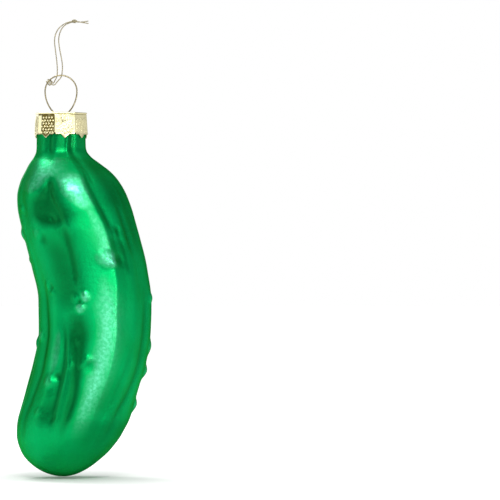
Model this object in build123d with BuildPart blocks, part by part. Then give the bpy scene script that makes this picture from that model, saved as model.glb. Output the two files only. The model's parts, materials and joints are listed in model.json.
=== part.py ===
from build123d import *
from math import acos, cos, degrees, radians, sin, tan
import os

# A hollow blown-glass pickle that hangs from a wire eye. The sheet-metal crown sits on the
# glass neck, the wire's two legs go through the crown and grip the inside of the neck, and a
# fine thread is hitched round the eye. Lengths are in millimetres, angles in degrees.
# Origin: the inside top of the wire eye, where a hook bears. +Z up, -Y is the front, and
# angles round the neck are counted from the front, towards +X.

# Wire eye and legs
wire_d = 0.4
wire_sides = 8
ring_r = 4.45
side_r = 8.5
waist_r = 0.8
leg_gap = 4.0
leg_straight = 3.0
splay_r = 1.2
splay_angle = 30.0
foot_r = 1.0
foot_angle = 48.0
foot_l = 1.8
leg_wall_gap = 0.06

# Crown cap
sheet = 0.25
crown_h = 6.1
crown_edge_d = 15.4
crown_draw = 0.4
panel_count = 8
panel_turn = 12.0
plate_sink = 0.5
rim_h = 0.45
rim_proud = 0.12
rim_round = 0.1
hole_gap = 0.35
tooth_h = 1.05
tooth_w = 2.3
notch_h = 0.6
notch_w = 0.7
seat_gap = 0.25

# Glass
lip_gap = 0.1
neck_gap = 0.06
lip_l = 5.0
lip_round = 0.3
wall = 0.9
rim_gap = 0.1
body_l = 95.9
body_w = 32.0
bow = 9.44
flat_share = 0.07
rib_h = 1.0
wart_d = 2.8
wart_h = 0.65

# Thread and its knot
cord_d = 0.35
cord_sides = 6
cord_gap = 0.07
hitch_angle = 142.0
hitch_l = 1.1
knot_l = 1.9
knot_d = 1.0
knot_waist_d = 0.6
knot_turns = 3
knot_sides = 8

# One length by which every cutter overruns what it cuts
overrun = 2.0

# Down the glass from the lip to the tip: how far down, how far the axis has bowed towards
# +X, how much of the neck's width and of the body's width it has, and how strong the ribs are
station_shares = (
    (0.000, 0.000, 1.000, 0.000, 0.00),
    (0.053, 0.010, 0.988, 0.012, 0.40),
    (0.068, 0.045, 0.870, 0.130, 0.50),
    (0.088, 0.110, 0.670, 0.330, 0.60),
    (0.112, 0.200, 0.444, 0.556, 0.75),
    (0.141, 0.255, 0.244, 0.756, 0.90),
    (0.182, 0.320, 0.087, 0.913, 1.00),
    (0.236, 0.435, 0.017, 0.983, 1.00),
    (0.306, 0.625, 0.000, 1.000, 1.00),
    (0.394, 0.845, 0.000, 0.990, 1.00),
    (0.488, 1.000, 0.000, 0.975, 1.00),
    (0.576, 0.980, 0.000, 0.968, 1.00),
    (0.664, 0.855, 0.000, 0.973, 1.00),
    (0.750, 0.623, 0.000, 0.972, 0.95),
    (0.823, 0.400, 0.000, 0.970, 0.80),
    (0.878, 0.237, 0.000, 0.914, 0.60),
    (0.924, 0.125, 0.000, 0.780, 0.40),
    (0.958, 0.060, 0.000, 0.595, 0.25),
    (0.984, 0.045, 0.000, 0.368, 0.10),
)
tip_shift_share = 0.06

# Round the glass: grooves and the crests between them, as angles from the front at three
# levels down the glass, and shares of rib_h. Each lobe is an arc from one row to the next but
# one, and the rows wander sideways between the levels.
rib_level_shares = (0.10, 0.30, 0.70)
rib_shares = (
    (-57, -60, -54, 0.00),
    (-43, -45, -40, 0.55),
    (-32, -33, -28, 0.05),
    (-27, -23, -19, 0.25),
    (-18, -14, -15, 0.00),
    (-15, -11, -12, 0.45),
    (-12, -8, -9, 0.85),
    (2, 9, 8, 0.95),
    (15, 27, 24, 1.20),
    (31, 39, 36, 0.30),
    (56, 55, 51, 0.00),
    (76, 77, 73, 0.60),
    (106, 105, 103, 0.00),
    (133, 132, 131, 0.70),
    (160, 156, 162, 0.00),
    (188, 184, 190, 0.80),
    (216, 218, 214, 0.00),
    (248, 250, 245, 0.70),
    (278, 277, 279, 0.00),
    (290, 289, 293, 0.40),
)
hollow_sides = 10

# Warts on the glass: how far down as a share, angle from the front, and size share
wart_shares = (
    (0.369, 20, 1.10),
    (0.294, -88, 1.00),
    (0.370, -84, 1.00),
    (0.606, -86, 1.00),
    (0.694, 86, 1.00),
    (0.792, 86, 1.10),
)

# The thread's route above the hitch, chosen by hand: across, depth and height from the
# origin. Both strands leave the hitch in front of the wire, rise behind the top of the eye,
# bend over to the right and run through the knot to their tails.
near_strand = (
    (-2.55, -0.445, -1.99),
    (-1.94, -0.38, -1.94),
    (-1.78, -0.05, -1.35),
    (-1.25, 0.52, -0.42),
    (-1.02, 0.62, 1.10),
    (-1.12, 0.55, 3.60),
    (-1.55, 0.40, 7.00),
    (-1.92, 0.28, 10.20),
    (-1.35, 0.15, 12.40),
    (-0.10, 0.05, 14.00),
    (1.70, -0.12, 15.05),
    (3.75, -0.21, 15.42),
    (5.70, -0.25, 15.05),
    (7.70, -0.35, 14.72),
)
far_strand = (
    (-1.97, -0.445, -2.87),
    (-0.90, 0.05, -1.35),
    (0.02, 0.52, -0.40),
    (0.33, 0.62, 1.15),
    (0.42, 0.55, 3.40),
    (-0.25, 0.42, 6.70),
    (-0.78, 0.30, 9.90),
    (-0.42, 0.25, 12.20),
    (0.55, 0.22, 13.90),
    (1.90, 0.25, 14.80),
    (3.75, 0.21, 15.30),
    (5.60, 0.30, 15.05),
    (7.60, 0.42, 15.43),
)
knot_at = (3.75, 0.0, 15.36)

# Levels and radii that follow from the sizes above
eye_z = wire_d / 2 - ring_r
waist_angle = degrees(acos((side_r - ring_r + leg_gap / 2 + waist_r) / (side_r + waist_r)))
waist_z = eye_z - (side_r + waist_r) * sin(radians(waist_angle))
plate_z = waist_z - seat_gap
crown_z = plate_z + plate_sink
crown_edge_z = crown_z - crown_h
rim_z = plate_z - sheet - rim_gap
lip_end_z = rim_z - lip_l
tip_z = lip_end_z - body_l
panel_cos = cos(radians(180 / panel_count))
lip_r = (crown_edge_d / 2 - crown_draw) * panel_cos - sheet - lip_gap
neck_r = crown_edge_d / 2 * panel_cos - sheet - neck_gap
bore_r = lip_r - wall


# The glass pickle

def skin(row, angle, crest=0.0, inset=0.0):
    """A point of the glass at a station row and an angle, outside or a wall's inset inside."""
    down, shift, neck_share, body_share, rib = row
    across = neck_share * neck_r + body_share * body_w / 2 - inset
    deep = across * (1 - flat_share * min(1, down / station_shares[5][0]))
    lift = crest * rib * rib_h
    return Vector(
        shift * bow + (across + lift) * sin(radians(angle)),
        -(deep + lift) * cos(radians(angle)),
        lip_end_z - down * body_l,
    )


def rib_rows(down):
    """The angle and the height share of every groove and crest at a level down the glass."""
    shoulder, middle, foot = rib_level_shares
    upper_part = min(1, max(0, (down - shoulder) / (middle - shoulder)))
    lower_part = min(1, max(0, (down - middle) / (foot - middle)))
    return [(high + upper_part * (mid - high) + lower_part * (low - mid), crest)
            for high, mid, low, crest in rib_shares]


def lobed_section(row):
    """One level outline of the outside, an arc over each rib."""
    points = [skin(row, angle, crest) for angle, crest in rib_rows(row[0])]
    starts = range(0, len(points), 2)
    with BuildSketch(Plane.XY.offset(points[0].Z)) as outline:
        with BuildLine():
            for i in starts:
                groove, crest, next_groove = points[i], points[i + 1], points[(i + 2) % len(points)]
                ThreePointArc(*[(point.X, point.Y) for point in (groove, crest, next_groove)])
        make_face()
    return outline.sketch


def hollow_section(row):
    """One level outline of the hollow, a wall inside the outside."""
    points = [skin(row, 360 * i / hollow_sides, inset=wall) for i in range(hollow_sides)]
    with BuildSketch(Plane.XY.offset(points[0].Z)) as outline:
        with BuildLine():
            Polyline(*[(point.X, point.Y) for point in points], close=True)
        make_face()
    return outline.sketch


def crest_at(down, angle):
    """The height share of the ribs at a level and an angle, on straight lines between rows."""
    rows = rib_rows(down)
    rows.append((rows[0][0] + 360, rows[0][1]))
    turn = (angle - rows[0][0]) % 360 + rows[0][0]
    for left, right in zip(rows, rows[1:]):
        if turn <= right[0]:
            return left[1] + (turn - left[0]) / (right[0] - left[0]) * (right[1] - left[1])


def wart(down, angle, size):
    """The centre and radius of the ball whose outermost part is one wart."""
    for upper, lower in zip(station_shares, station_shares[1:]):
        if upper[0] <= down <= lower[0]:
            part = (down - upper[0]) / (lower[0] - upper[0])
            row = [a + part * (b - a) for a, b in zip(upper, lower)]
    foot, rise = size * wart_d / 2, size * wart_h
    ball_r = (foot ** 2 + rise ** 2) / (2 * rise)
    here = skin(row, angle, crest_at(down, angle))
    axis = Vector(row[1] * bow, 0, here.Z)
    return here - (here - axis).normalized() * (ball_r - rise), ball_r


with BuildPart() as pickle:
    loft([lobed_section(row) for row in station_shares] + [Vertex(tip_shift_share * bow, 0, tip_z)],
         ruled=True)
    with BuildSketch(Plane.XZ):
        with BuildLine():
            Polyline(
                (0, lip_end_z),
                (lip_r, lip_end_z),
                (lip_r, rim_z - lip_round),
                (lip_r - lip_round, rim_z),
                (0, rim_z),
                close=True,
            )
        make_face()
    revolve(axis=Axis.Z)
    for centre, ball_r in [wart(*shares) for shares in wart_shares]:
        with Locations(centre):
            Sphere(ball_r)
    hollow_tip = Vertex(tip_shift_share * bow, 0, tip_z + wall)
    loft([hollow_section(row) for row in station_shares[:-1]] + [hollow_tip], ruled=True,
         mode=Mode.SUBTRACT)
    with BuildSketch(Plane.XY.offset(lip_end_z - overrun)):
        Circle(bore_r)
    extrude(amount=overrun + lip_l + overrun, mode=Mode.SUBTRACT)


# The wire hanger: one wire bent to the eye, the waist, two straight legs through the crown
# and two splayed feet that bear outwards on the neck's bore

splay_cos = cos(radians(splay_angle))
leg_reach = bore_r - wire_d / 2 - leg_wall_gap - leg_gap / 2
slant_l = (leg_reach - (splay_r + foot_r) * (1 - splay_cos)) / sin(radians(splay_angle))
with BuildPart() as hanger:
    with BuildLine(Plane.XZ) as half_wire:
        top = (0, wire_d / 2)
        eye = JernArc(start=top, tangent=(1, 0), radius=ring_r, arc_size=-90)
        side = JernArc(start=eye @ 1, tangent=eye % 1, radius=side_r, arc_size=-waist_angle)
        waist = JernArc(start=side @ 1, tangent=side % 1, radius=waist_r, arc_size=waist_angle)
        leg = PolarLine(waist @ 1, leg_straight, direction=waist % 1)
        splay = JernArc(start=leg @ 1, tangent=leg % 1, radius=splay_r, arc_size=splay_angle)
        slant = PolarLine(splay @ 1, slant_l, direction=splay % 1)
        foot = JernArc(start=slant @ 1, tangent=slant % 1, radius=foot_r, arc_size=-foot_angle)
        PolarLine(foot @ 1, foot_l, direction=foot % 1)
    with BuildSketch(Plane(origin=half_wire.line @ 0, z_dir=half_wire.line % 0)):
        RegularPolygon(wire_d / 2, wire_sides)
    sweep(path=half_wire.line)
    mirror(about=Plane.YZ)


# The crown cap

def crown_outline(level, inset=0.0, proud=0.0):
    """The crown's outline at a level: eight flat panels."""
    rise_share = (level - crown_edge_z) / crown_h
    corner_r = crown_edge_d / 2 - rise_share * crown_draw
    flat_r = corner_r * panel_cos - inset + proud
    with BuildSketch(Plane.XY.offset(level)) as outline:
        RegularPolygon(flat_r, panel_count, major_radius=False, rotation=panel_turn - 90)
    return outline.sketch


with BuildPart() as crown:
    skirt_z = crown_edge_z - tooth_h
    rim_band_z = crown_z - rim_h
    loft([crown_outline(skirt_z), crown_outline(rim_band_z)], ruled=True)
    add(crown_outline(rim_band_z, proud=rim_proud))
    extrude(amount=rim_h)
    chamfer(crown.edges().group_by(Axis.Z)[-1], rim_round)
    loft([crown_outline(skirt_z, inset=sheet), crown_outline(crown_z, inset=sheet)], ruled=True,
         mode=Mode.SUBTRACT)
    add(crown_outline(plate_z, inset=sheet / 2))
    extrude(amount=-sheet)
    with Locations((-leg_gap / 2, 0, plate_z), (leg_gap / 2, 0, plate_z)):
        Hole(wire_d / 2 + hole_gap, depth=sheet + overrun)
    half_panel = crown_edge_d / 2 * sin(radians(180 / panel_count))
    under = -tooth_h - overrun
    for i in range(panel_count):
        turn = radians(panel_turn + i * 360 / panel_count)
        outward = Plane((0, 0, crown_edge_z), x_dir=(cos(turn), sin(turn), 0),
                        z_dir=(sin(turn), -cos(turn), 0))
        with BuildSketch(outward):
            with BuildLine():
                Polyline(
                    (-half_panel - notch_w / 2, 0),
                    (-half_panel, notch_h),
                    (-half_panel + notch_w / 2, 0),
                    (-tooth_w / 2, 0),
                    (0, -tooth_h),
                    (tooth_w / 2, 0),
                    (half_panel - notch_w / 2, 0),
                    (half_panel, notch_h),
                    (half_panel + notch_w / 2, 0),
                    (half_panel + notch_w / 2, under),
                    (-half_panel - notch_w / 2, under),
                    close=True,
                )
            make_face()
        extrude(amount=crown_edge_d, mode=Mode.SUBTRACT)


# The thread: from one tail down the near strand, twice round the wire of the eye in a girth
# hitch, and up the far strand to the other tail

hitch_turn = radians(hitch_angle)
inward = Vector(-cos(hitch_turn), 0, -sin(hitch_turn))
along = Vector(sin(hitch_turn), 0, -cos(hitch_turn))
hitch_at = Vector(0, 0, eye_z) - inward * ring_r
turn_r = wire_d / 2 + cord_gap + cord_d / 2
pair_t = (cord_d + cord_gap) / 2
bight_t = pair_t + cord_d + cord_gap
bar_v = turn_r + cord_d + cord_gap


def hitch_point(inside, front, side):
    """A point of the hitch: towards the middle of the eye, to the front and along the wire."""
    return hitch_at + inward * inside + Vector(0, -front, 0) + along * side


half_hitch = (
    (-turn_r, turn_r, pair_t),
    (-turn_r, -turn_r, (pair_t + bight_t) / 2),
    (turn_r, -turn_r, bight_t),
    (hitch_l, bar_v, bight_t),
)
route = [Vector(point) for point in reversed(near_strand)]
route += [hitch_point(*place) for place in half_hitch]
route += [hitch_point(inside, front, -side) for inside, front, side in reversed(half_hitch)]
route += [Vector(point) for point in far_strand]
runs = [(b - a).length for a, b in zip(route, route[1:])]
turns = [(b - a).get_angle(c - b) for a, b, c in zip(route, route[1:], route[2:])]
radii = [
    0.45 * min(before, after) / tan(radians(turn) / 2)
    for before, after, turn in zip(runs, runs[1:], turns)
]
with BuildPart() as thread:
    with BuildLine() as path:
        FilletPolyline(*route, radius=radii)
    with BuildSketch(Plane(origin=path.line @ 0, z_dir=path.line % 0)):
        RegularPolygon(cord_d / 2, cord_sides)
    sweep(path=path.line)
cord_l = sum(edge.length for edge in path.edges())
section_area = cord_sides / 2 * (cord_d / 2) ** 2 * sin(radians(360 / cord_sides))
print("thread turns, degrees", [round(turn) for turn in turns])
print("thread radii, mm", [round(radius, 2) for radius in radii])
print("thread length, mm", round(cord_l, 1))
print("thread volume by section and length", round(thread.part.volume / (section_area * cord_l), 4))

with BuildPart() as knot:
    bead_l = knot_l / knot_turns
    knot_rings = []
    for i in range(2 * knot_turns + 1):
        ring_d = knot_d if i % 2 else knot_waist_d
        place = (knot_at[0] - knot_l / 2 + i * bead_l / 2, knot_at[1], knot_at[2])
        with BuildSketch(Plane(place, x_dir=(0, 1, 0), z_dir=(1, 0, 0))) as knot_ring:
            RegularPolygon(ring_d / 2, knot_sides)
        knot_rings.append(knot_ring.sketch)
    loft(knot_rings, ruled=True)


os.makedirs("parts", exist_ok=True)
pickle.part.label = "glass_pickle"
export_step(pickle.part, "parts/glass_pickle.step")
hanger.part.label = "wire_hanger"
export_step(hanger.part, "parts/wire_hanger.step")
crown.part.label = "crown_cap"
export_step(crown.part, "parts/crown_cap.step")
thread.part.label = "hanging_cord"
export_step(thread.part, "parts/hanging_cord.step")
knot.part.label = "cord_knot"
export_step(knot.part, "parts/cord_knot.step")
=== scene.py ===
import json
import math

import bmesh
import bpy
import numpy as np
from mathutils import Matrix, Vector

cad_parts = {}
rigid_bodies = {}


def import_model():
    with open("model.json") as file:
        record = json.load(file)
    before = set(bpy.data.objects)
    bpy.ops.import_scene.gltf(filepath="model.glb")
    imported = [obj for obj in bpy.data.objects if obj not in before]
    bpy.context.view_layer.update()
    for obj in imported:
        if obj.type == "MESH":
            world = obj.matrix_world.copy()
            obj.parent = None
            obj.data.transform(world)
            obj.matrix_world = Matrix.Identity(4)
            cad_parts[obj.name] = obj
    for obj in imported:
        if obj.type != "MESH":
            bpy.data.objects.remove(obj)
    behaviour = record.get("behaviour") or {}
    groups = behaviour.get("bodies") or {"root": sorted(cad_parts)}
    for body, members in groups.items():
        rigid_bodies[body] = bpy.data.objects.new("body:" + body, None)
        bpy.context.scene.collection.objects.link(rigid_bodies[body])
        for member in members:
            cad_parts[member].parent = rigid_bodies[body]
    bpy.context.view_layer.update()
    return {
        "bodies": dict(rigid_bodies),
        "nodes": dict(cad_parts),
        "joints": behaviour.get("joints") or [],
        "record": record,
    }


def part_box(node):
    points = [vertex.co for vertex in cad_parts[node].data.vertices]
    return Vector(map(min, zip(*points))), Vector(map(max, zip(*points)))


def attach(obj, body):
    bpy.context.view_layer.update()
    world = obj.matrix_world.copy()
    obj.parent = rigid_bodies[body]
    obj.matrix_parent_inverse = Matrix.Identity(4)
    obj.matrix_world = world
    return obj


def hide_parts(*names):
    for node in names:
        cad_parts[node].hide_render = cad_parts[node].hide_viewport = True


bl_info = {
    "name": "Glass Pickle Ornament",
    "version": (1, 0, 0),
    "blender": (4, 5, 0),
    "location": "View3D > Sidebar > Ornament",
    "description": "Builds a blown-glass pickle ornament with its crown cap, wire hanger and thread",
    "category": "Add Mesh",
}

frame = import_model()
MM = 0.001

# Levels in millimetres: the glass lip's rim, the glass tip and the crown's top
GLASS_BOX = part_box("glass_pickle")
CROWN_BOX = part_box("crown_cap")
RIM_Z = GLASS_BOX[1].z / MM
TIP_Z = GLASS_BOX[0].z / MM
CROWN_Z = CROWN_BOX[1].z / MM

# Vertices nearer than this, in millimetres, are one, and a tube's end stands out by this share of
# its radius
MERGE_WITHIN = 0.002
END_DOME = 0.4

# Down the glass from the lip to the tip: how far down, how far the axis has bowed towards +X,
# how much of the neck's width and of the body's width it has, and how strong the ridges are
STATIONS = (
    (0.000, 0.000, 1.000, 0.000, 0.30),
    (0.020, 0.000, 1.000, 0.000, 0.45),
    (0.040, 0.002, 0.998, 0.002, 0.50),
    (0.052, 0.012, 0.978, 0.022, 0.52),
    (0.068, 0.045, 0.880, 0.120, 0.55),
    (0.088, 0.110, 0.670, 0.330, 0.70),
    (0.112, 0.200, 0.444, 0.556, 0.85),
    (0.141, 0.255, 0.244, 0.756, 1.00),
    (0.182, 0.320, 0.087, 0.913, 1.00),
    (0.236, 0.435, 0.017, 0.983, 1.00),
    (0.306, 0.625, 0.000, 1.000, 1.00),
    (0.394, 0.845, 0.000, 0.990, 1.00),
    (0.488, 1.000, 0.000, 0.975, 1.00),
    (0.576, 0.980, 0.000, 0.968, 1.00),
    (0.664, 0.855, 0.000, 0.973, 1.00),
    (0.750, 0.623, 0.000, 0.972, 1.00),
    (0.823, 0.400, 0.000, 0.970, 0.95),
    (0.878, 0.237, 0.000, 0.914, 0.70),
    (0.924, 0.125, 0.000, 0.780, 0.40),
    (0.958, 0.060, 0.000, 0.595, 0.15),
    (0.984, 0.045, 0.000, 0.368, 0.05),
    (1.000, 0.060, 0.000, 0.000, 0.00),
)

# The ridges' and hollows' lines down the glass, from the left round the front and the back: how
# sharp each is, then how far down, its angle from the front and its height in millimetres
RIDGE_LINES = (
    (0.2, ((0.0, -58, 0.2), (0.3, -62, 0.1), (0.46, -60, 0.0), (0.60, -56, 0.0), (0.70, -52, 0.0),
           (0.80, -48, 0.1), (1.0, -45, 0.0))),
    (0.1, ((0.0, -40, 0.3), (0.08, -40, 0.6), (0.16, -42, 0.9), (0.22, -48, 0.6), (0.30, -44, 0.3),
           (0.45, -43, 0.4), (0.60, -40, 0.6), (0.70, -37, 0.6), (0.82, -35, 0.3), (1.0, -33, 0.1))),
    (0.1, ((0.0, -22, -0.2), (0.08, -28, 0.5), (0.15, -30, 0.7), (0.20, -32, 0.3), (0.27, -30, 0.2),
           (0.45, -30, 0.3), (0.56, -27, 0.2), (0.76, -24, 0.1), (1.0, -22, 0.1))),
    (0.2, ((0.0, -12, 0.2), (0.08, -20, 0.6), (0.15, -23, 0.7), (0.20, -20, 0.3), (0.25, -15, 0.4),
           (0.30, -15, 0.35), (0.45, -18, 0.4), (0.56, -20, 0.4), (0.64, -19.5, 0.45), (0.76, -17, 0.4),
           (1.0, -14, 0.1))),
    (0.5, ((0.0, -3, 0.4), (0.08, -14, 0.7), (0.15, -19, 0.9), (0.20, -13, 1.0), (0.25, -8, 1.0),
           (0.30, -7, 0.9), (0.45, -8, 0.9), (0.57, -9, 0.95), (0.76, -8, 0.80), (1.0, -6, 0.2))),
    (0.0, ((0.0, 12, -0.3), (0.08, 4, 0.7), (0.16, 0, 1.0), (0.25, 8, 1.0), (0.31, 10, 0.9),
           (0.45, 8, 0.7), (0.57, 8, 0.55), (0.75, 8, 0.5), (1.0, 8, 0.1))),
    (1.4, ((0.0, 18, 0.6), (0.07, 15, 0.9), (0.14, 16, 1.2), (0.22, 23, 1.3), (0.28, 27.5, 1.3),
           (0.40, 27, 1.1), (0.50, 24, 1.0), (0.60, 25, 0.9), (0.70, 23.5, 0.8), (0.85, 21, 0.5),
           (1.0, 18, 0.1))),
    (0.3, ((0.0, 27, -0.3), (0.14, 29, -0.1), (0.22, 35, 0.1), (0.30, 39, 0.2), (0.40, 39, 0.3),
           (0.50, 37, 0.35), (0.70, 36, 0.4), (0.80, 34, 0.25), (1.0, 28, 0.1))),
    (0.1, ((0.0, 44, 0.1), (0.14, 43, 0.1), (0.22, 46, 0.2), (0.30, 48, 0.3), (0.45, 47, 0.4),
           (0.60, 45, 0.4), (0.74, 43, 0.4), (0.86, 34, 0.3), (1.0, 32, 0.1))),
    (0.1, ((0.0, 60, 0.0), (0.14, 56, 0.1), (0.34, 58, 0.1), (0.48, 58, 0.1), (0.66, 56, 0.1),
           (0.79, 52, 0.1), (0.88, 42, 0.1), (1.0, 40, 0.0))),
    (0.1, ((0.0, 80, 0.3), (0.20, 76, 0.5), (0.50, 76, 0.6), (0.80, 72, 0.5), (1.0, 60, 0.1))),
    (0.3, ((0.0, 106, 0.0), (0.5, 104, 0.0), (1.0, 100, 0.0))),
    (0.4, ((0.0, 133, 0.3), (0.3, 129, 0.7), (0.6, 133, 0.9), (1.0, 130, 0.1))),
    (0.3, ((0.0, 160, 0.0), (0.3, 156, 0.0), (0.6, 162, 0.0), (1.0, 160, 0.0))),
    (0.9, ((0.0, 188, 0.3), (0.3, 184, 1.1), (0.7, 190, 1.0), (1.0, 188, 0.1))),
    (0.3, ((0.0, 216, 0.0), (0.4, 219, 0.0), (0.7, 214, 0.0), (1.0, 212, 0.0))),
    (0.5, ((0.0, 248, 0.3), (0.3, 251, 0.7), (0.7, 244, 0.9), (1.0, 246, 0.1))),
    (0.3, ((0.0, 278, 0.0), (0.5, 277, 0.0), (1.0, 280, 0.0))),
    (0.1, ((0.0, 292, 0.3), (0.5, 290, 0.3), (1.0, 296, 0.1))),
)

# Grooves and long hollows: depth in millimetres, then how far down, at which angle and how wide
# to either side, in millimetres
GROOVES = (
    (0.28, ((0.00, -22, 1.4), (0.053, -22, 1.5), (0.10, -18, 1.7))),
    (0.15, ((0.00, 11, 0.8), (0.045, 11, 0.9), (0.065, 9, 1.0))),
    (0.30, ((0.00, 30, 1.5), (0.053, 30, 1.7), (0.13, 30, 1.8), (0.18, 33, 1.4))),
    (1.12, ((0.115, -17, 1.2), (0.15, -20, 2.0), (0.18, -23, 3.4), (0.205, -25, 5.0), (0.235, -25, 6.6),
            (0.285, -24, 7.4))),
    (0.20, ((0.00, 1, 3.0), (0.05, 1, 3.0), (0.08, 1, 2.0))),
    (0.32, ((0.05, 21, 1.0), (0.09, 25, 1.2), (0.14, 24, 1.3), (0.22, 30, 1.3), (0.28, 34, 1.2),
            (0.38, 34, 1.0))),
    (0.55, ((0.24, -13, 1.6), (0.31, -12.5, 2.0), (0.40, -13, 2.2), (0.48, -16, 1.8))),
    (0.40, ((0.27, -30, 3.5), (0.36, -26, 6.5), (0.44, -24, 6.5), (0.54, -24, 4.0))),
    (0.50, ((0.50, -31, 1.3), (0.588, -28, 1.7), (0.675, -24.5, 1.7), (0.763, -22, 1.6),
            (0.824, -20, 1.8), (0.89, -19, 1.8))),
    (0.75, ((0.47, -12, 3.2), (0.544, -14, 4.2), (0.588, -14, 4.0), (0.63, -12.5, 3.0),
            (0.678, -10.4, 2.0), (0.778, -5.5, 1.8), (0.853, -5.5, 1.8), (0.91, -6, 1.7))),
    (0.35, ((0.38, -59, 1.3), (0.456, -58, 1.5), (0.602, -54, 1.6), (0.661, -54, 1.6), (0.725, -55, 1.6),
            (0.778, -57, 1.7), (0.818, -58.6, 1.8), (0.88, -59, 1.8), (0.94, -57, 1.8))),
    (0.34, ((0.40, 66, 1.4), (0.50, 65, 1.7), (0.573, 64.5, 1.7), (0.623, 64, 1.7), (0.70, 61.3, 1.7),
            (0.763, 57, 1.7), (0.80, 52, 1.7), (0.877, 46.7, 1.8), (0.94, 40, 1.8))),
    (0.18, ((0.58, 47, 1.2), (0.661, 44, 1.4), (0.716, 40.5, 1.4), (0.772, 38.5, 1.4), (0.86, 35, 1.3))),
    (0.38, ((0.05, 46, 3.5), (0.10, 44, 6.0), (0.16, 51, 6.0), (0.25, 57, 3.0))),
    (0.35, ((0.10, 50, 1.4), (0.20, 52, 1.8), (0.30, 55, 1.8), (0.38, 56, 1.4))),
    (0.35, ((0.28, 40, 1.2), (0.34, 45, 1.8), (0.42, 44, 1.4))),
    (0.30, ((0.07, 62, 1.6), (0.12, 62, 2.6), (0.20, 66, 3.2), (0.30, 68, 2.6), (0.38, 68, 1.8))),
    (0.50, ((0.12, 156, 1.4), (0.30, 157, 2.0), (0.45, 160, 2.2), (0.70, 163, 2.0), (0.88, 160, 1.4))),
    (0.50, ((0.10, 218, 1.4), (0.30, 219, 2.0), (0.45, 217, 2.2), (0.66, 213, 2.0), (0.86, 214, 1.4))),
    (0.40, ((0.25, 105, 1.4), (0.45, 104, 1.8), (0.60, 103, 1.8), (0.86, 101, 1.3))),
    (0.40, ((0.30, 277, 1.4), (0.45, 277, 1.8), (0.60, 278, 1.8), (0.86, 280, 1.3))),
    (0.25, ((0.48, 182, 1.2), (0.58, 185, 1.5), (0.72, 182, 1.2))),
)

# Painted highlights, paler green under a stronger coat: how much, then how far down, at which
# angle and how wide to either side, in millimetres
THIN_COAT = (
    (1.00, ((0.100, 3, 2.6), (0.135, 3, 4.6), (0.17, 5, 4.8), (0.20, 10, 3.4), (0.24, 15, 2.0))),
    (0.55, ((0.18, 12, 1.4), (0.25, 19, 1.6), (0.30, 22, 1.8), (0.40, 21, 2.4))),
    (0.95, ((0.38, 13, 2.0), (0.48, 14, 2.8), (0.54, 15, 3.0), (0.62, 14.5, 3.0), (0.70, 13, 2.8),
            (0.78, 11, 2.6), (0.90, 8, 2.4))),
    (0.50, ((0.55, -36, 1.0), (0.63, -34, 1.7), (0.71, -36, 1.0))),
    (1.00, ((0.335, 23, 1.4), (0.365, 23, 2.6), (0.395, 24, 1.4))),
    (0.80, ((0.45, -7, 1.0), (0.473, -7, 1.8), (0.496, -8, 1.0))),
    (0.80, ((0.485, -12, 1.0), (0.508, -12, 1.9), (0.531, -12, 1.0))),
    (0.65, ((0.045, -24, 3.0), (0.10, -24, 5.5), (0.14, -30, 5.0), (0.19, -42, 3.0))),
)

# A trace of one of the two tables above fades over this share of its length at its ends, and is
# at least this wide to either side, in millimetres
TRACE_FADE = 0.3
TRACE_LEAST = 0.5

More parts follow.
